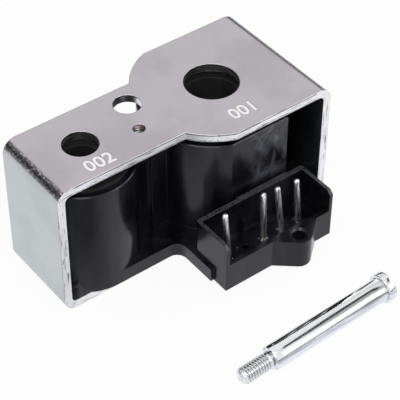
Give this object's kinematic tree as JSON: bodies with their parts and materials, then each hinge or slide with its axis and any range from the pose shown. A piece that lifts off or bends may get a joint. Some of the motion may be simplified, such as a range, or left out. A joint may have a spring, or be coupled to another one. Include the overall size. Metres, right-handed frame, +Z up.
{
  "type": "gas valve coil",
  "caption": "Twin solenoid coil for a gas valve: a large and a small moulded coil in a bent steel yoke, with an open-topped pin connector, a fixing lug and a loose long shouldered screw.",
  "frame": {"origin": "axis of the main coil's bore, at the underside of the base plate", "axes": "+Z up the main bore, +X from the pilot coil to the main coil, -Y towards the connector"},
  "size_m": [0.0686, 0.0701, 0.035],
  "materials": {
    "plated_steel": "satin zinc plate",
    "black_plastic": "moulded, semi gloss",
    "bobbin_plastic": "moulded",
    "enamelled_copper": "enamelled wire",
    "winding_tape": "polyester tape",
    "bush_steel": "turned",
    "tinned_brass": "tinned",
    "solder": "dull",
    "lead_wire": "sleeved",
    "zinc_steel": "bright zinc"
  },
  "bodies": {
    "coil": {"yoke": "plated_steel", "base_plate": "plated_steel", "housing": "black_plastic", "main_bobbin": "bobbin_plastic", "pilot_bobbin": "bobbin_plastic", "main_winding": "enamelled_copper", "pilot_winding": "enamelled_copper", "main_winding_tape": "winding_tape", "pilot_winding_tape": "winding_tape", "main_flux_sleeve": "bush_steel", "pilot_flux_sleeve": "bush_steel", "terminal_pin_1": "tinned_brass", "terminal_pin_2": "tinned_brass", "terminal_pin_3": "tinned_brass", "terminal_pin_4": "tinned_brass", "solder_joints": "solder", "main_start_lead": "lead_wire", "main_finish_lead": "lead_wire", "pilot_start_lead": "lead_wire", "pilot_finish_lead": "lead_wire"},
    "screw": {"fixing_screw": "zinc_steel"}
  },
  "joints": [
    {"name": "screw_lift", "type": "slide", "parent": "coil", "child": "screw", "axis": [0, 0, 1], "range_m": [0, 0.06]}
  ]
}
